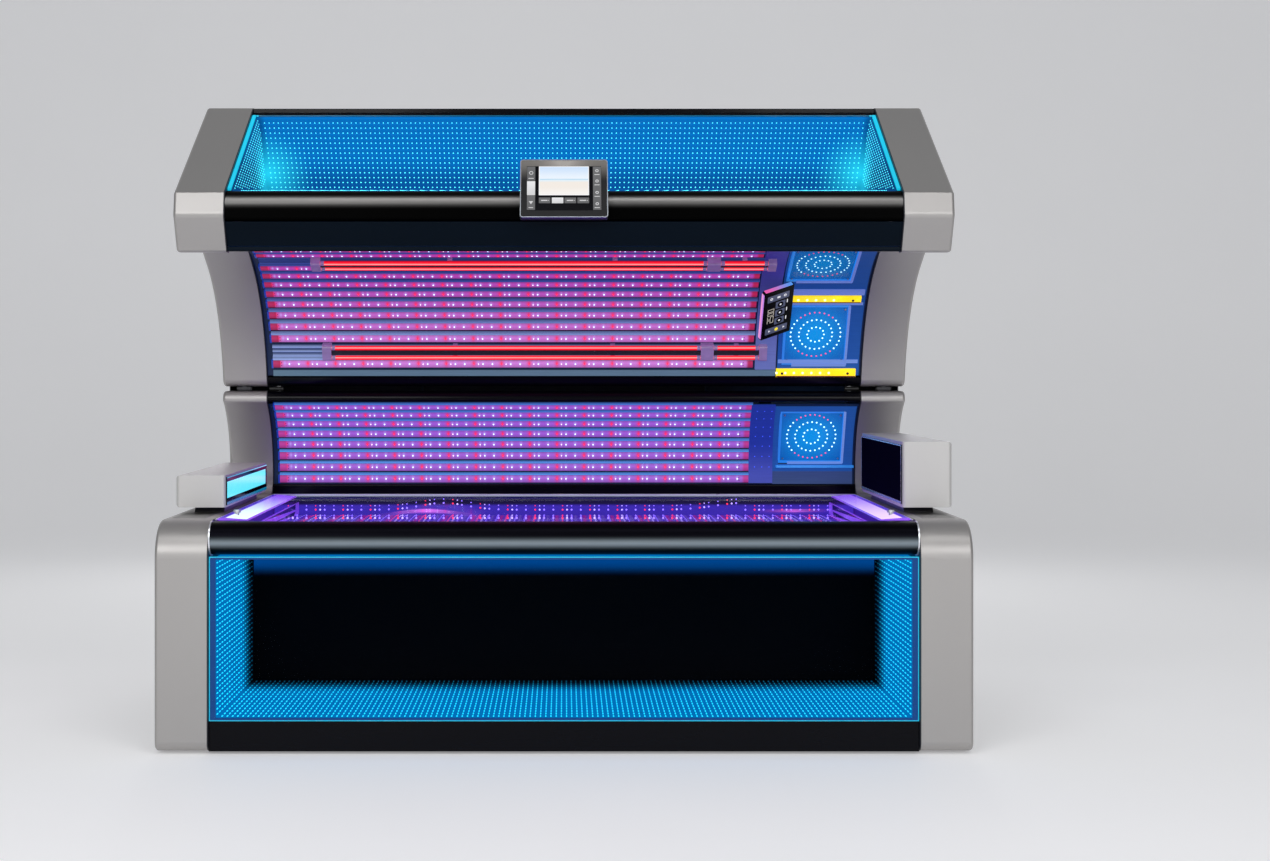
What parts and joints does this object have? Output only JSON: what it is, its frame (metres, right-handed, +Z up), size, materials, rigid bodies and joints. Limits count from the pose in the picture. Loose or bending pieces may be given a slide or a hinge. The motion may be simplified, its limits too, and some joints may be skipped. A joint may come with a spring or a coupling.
{
  "type": "tanning bed",
  "caption": "Clamshell tanning bed, canopy open: lit reflector walls of lamp bars, acrylic bench, light-tunnel front, sloping lit fascia, silver side cheeks, control pods.",
  "frame": {"origin": "on the floor under the middle of the base's outline", "axes": "+X along the bed to the right as seen from the front, +Y to the rear where the hinge is, +Z up"},
  "size_m": [2.4, 1.48, 2.007],
  "materials": {
    "satin_silver": "satin",
    "pod_silver": "satin",
    "liner_grey": "satin",
    "frame_paint": "matte",
    "rubber_foot": "matte",
    "gloss_black": "gloss",
    "smoked_glass": "polished",
    "light_guide": "gloss",
    "light_box": "satin",
    "bright_trim": "polished",
    "tray_sheet": "satin",
    "lamp_bar": "satin",
    "clear_acrylic": "polished",
    "lit_end": "gloss",
    "reflector_sheet": "satin",
    "partition_blue": "satin",
    "face_lamp_blue": "gloss",
    "yellow_lamp": "gloss",
    "tube_red": "gloss",
    "holder_plastic": "satin",
    "rear_panel": "satin",
    "fan_black": "satin",
    "guard_steel": "satin",
    "gland_black": "matte",
    "driver_case": "satin",
    "pin_steel": "satin",
    "drive_steel": "satin",
    "pod_display": "gloss",
    "pod_glass": "polished",
    "stalk_dark": "satin"
  },
  "bodies": {
    "base": {"base_frame": "frame_paint", "levelling_feet": "rubber_foot", "base_cheek_cover_right": "satin_silver", "base_cheek_cover_left": "satin_silver", "base_cheek_liners": "liner_grey", "front_bumper": "gloss_black", "plinth_panel": "gloss_black", "front_glass": "smoked_glass", "front_light_guides": "light_guide", "front_light_box": "light_box", "bench_trim": "bright_trim", "bench_tray": "tray_sheet", "bench_led_bars": "lamp_bar", "bench_acrylic": "clear_acrylic", "bench_ends": "lit_end", "base_reflector": "reflector_sheet", "base_led_bars": "lamp_bar", "base_partition": "partition_blue", "base_face_lamp": "face_lamp_blue", "base_rails": "gloss_black", "base_rear_cover": "rear_panel", "fan_housings": "fan_black", "fan_guards": "guard_steel", "power_gland": "gland_black", "power_units": "driver_case", "hinge_pins": "pin_steel", "lift_drives": "drive_steel", "pod_bodies": "pod_silver", "pod_screen_right": "pod_glass", "pod_screen_left": "pod_display", "pod_stalks": "stalk_dark"},
    "canopy": {"canopy_reflector": "reflector_sheet", "canopy_led_bars": "lamp_bar", "canopy_partition": "partition_blue", "canopy_tube_lamps": "tube_red", "canopy_tube_holders": "holder_plastic", "canopy_face_lamps": "face_lamp_blue", "canopy_yellow_lamps": "yellow_lamp", "canopy_rails": "gloss_black", "canopy_frame": "frame_paint", "canopy_wedge_covers": "rear_panel", "canopy_cheek_cover_right": "satin_silver", "canopy_cheek_cover_left": "satin_silver", "canopy_cheek_liners": "liner_grey", "canopy_formers": "frame_paint", "canopy_lip": "gloss_black", "canopy_lip_panel": "gloss_black", "canopy_rear_cover": "rear_panel", "fascia_glass": "smoked_glass", "fascia_light_guides": "light_guide", "fascia_light_box": "light_box", "control_brackets": "pin_steel", "control_pins": "pin_steel"},
    "lift_rod_left": {"lift_rod_left": "drive_steel"},
    "lift_rod_right": {"lift_rod_right": "drive_steel"},
    "fan_rotor_left": {"fan_rotor_left": "fan_black"},
    "fan_rotor_right": {"fan_rotor_right": "fan_black"},
    "lip_display": {"lip_display": "gloss_black"},
    "control_tablet": {"control_tablet": "gloss_black"}
  },
  "joints": [
    {"name": "canopy_hinge", "type": "hinge", "parent": "base", "child": "canopy", "pos_m": [0, 0.409, 1.06], "axis": [1, 0, 0], "range_deg": [0, 45]},
    {"name": "lift_left", "type": "slide", "parent": "base", "child": "lift_rod_left", "axis": [0, 0, 1], "range_m": [0, 0.1226]},
    {"name": "lift_right", "type": "slide", "parent": "base", "child": "lift_rod_right", "axis": [0, 0, 1], "range_m": [0, 0.1226]},
    {"name": "display_tilt", "type": "hinge", "parent": "canopy", "child": "lip_display", "pos_m": [0, -0.486, 1.622], "axis": [1, 0, 0], "range_deg": [0, 20]},
    {"name": "tablet_swivel", "type": "hinge", "parent": "canopy", "child": "control_tablet", "pos_m": [0.717, 0.19986, 1.33838], "axis": [0, -0.6691, 0.7431], "range_deg": [-52, 3]},
    {"name": "fan_left_spin", "type": "hinge", "parent": "base", "child": "fan_rotor_left", "pos_m": [-0.42, 0.712, 0.42], "axis": [0, 1, 0], "continuous": true},
    {"name": "fan_right_spin", "type": "hinge", "parent": "base", "child": "fan_rotor_right", "pos_m": [0.42, 0.712, 0.42], "axis": [0, 1, 0], "continuous": true}
  ],
  "couplings": [
    {"joint": "lift_left", "follows": "canopy_hinge", "m_per_rad": 0.1559},
    {"joint": "lift_right", "follows": "canopy_hinge", "m_per_rad": 0.1559}
  ]
}
